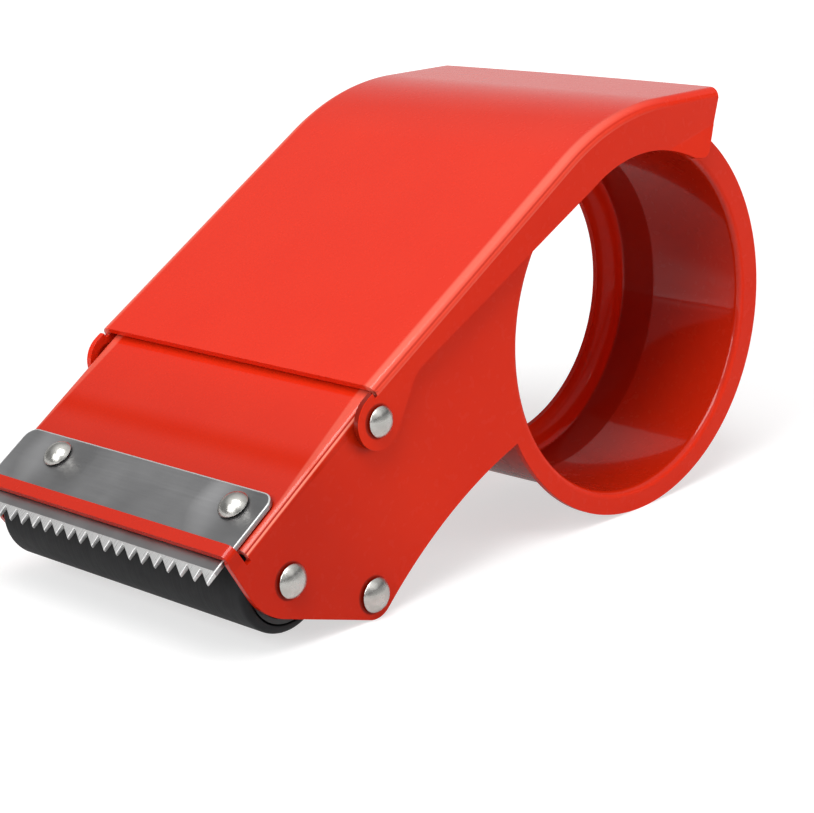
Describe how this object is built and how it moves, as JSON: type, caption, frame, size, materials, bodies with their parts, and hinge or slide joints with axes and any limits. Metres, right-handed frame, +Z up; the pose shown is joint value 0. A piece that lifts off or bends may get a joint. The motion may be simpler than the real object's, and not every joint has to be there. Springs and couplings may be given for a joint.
{
  "type": "packing tape dispenser",
  "caption": "Hand-held packing tape dispenser of red sheet metal with a hinged cover, a saw blade over a roller and a drum for the tape core.",
  "frame": {"origin": "centre of the bounding box's base, on the ground that the ring and both heels stand on", "axes": "+X to the rear, away from the blade; +Z up; the side with the ring and the drum's mouth faces -Y, the side that takes the tape roll faces +Y"},
  "size_m": [0.1504, 0.079, 0.0811],
  "materials": {
    "frame": "gloss",
    "tape_drum": "gloss",
    "cover": "gloss",
    "cutter_blade": "satin",
    "blade_rivet_near": "bright",
    "blade_rivet_far": "bright",
    "hinge_rivet_near": "bright",
    "hinge_rivet_far": "bright",
    "roller_axle": "bright",
    "rear_rod": "bright",
    "rear_spacer": "satin",
    "roller_core": "matte",
    "roller_tyre": "matte",
    "roller_bush_near": "matte",
    "roller_bush_far": "matte"
  },
  "bodies": {
    "frame": {"frame": "frame", "tape_drum": "tape_drum", "cutter_blade": "cutter_blade", "blade_rivet_near": "blade_rivet_near", "blade_rivet_far": "blade_rivet_far", "hinge_rivet_near": "hinge_rivet_near", "hinge_rivet_far": "hinge_rivet_far", "roller_axle": "roller_axle", "rear_rod": "rear_rod", "rear_spacer": "rear_spacer"},
    "cover": {"cover": "cover"},
    "roller": {"roller_core": "roller_core", "roller_tyre": "roller_tyre", "roller_bush_near": "roller_bush_near", "roller_bush_far": "roller_bush_far"}
  },
  "joints": [
    {"name": "cover_hinge", "type": "hinge", "parent": "frame", "child": "cover", "pos_m": [-0.03673, 0, 0.03656], "axis": [0, -1, 0], "range_deg": [0, 55]},
    {"name": "roller_spin", "type": "hinge", "parent": "frame", "child": "roller", "pos_m": [-0.05771, 0, 0.01316], "axis": [0, 1, 0], "continuous": true}
  ]
}
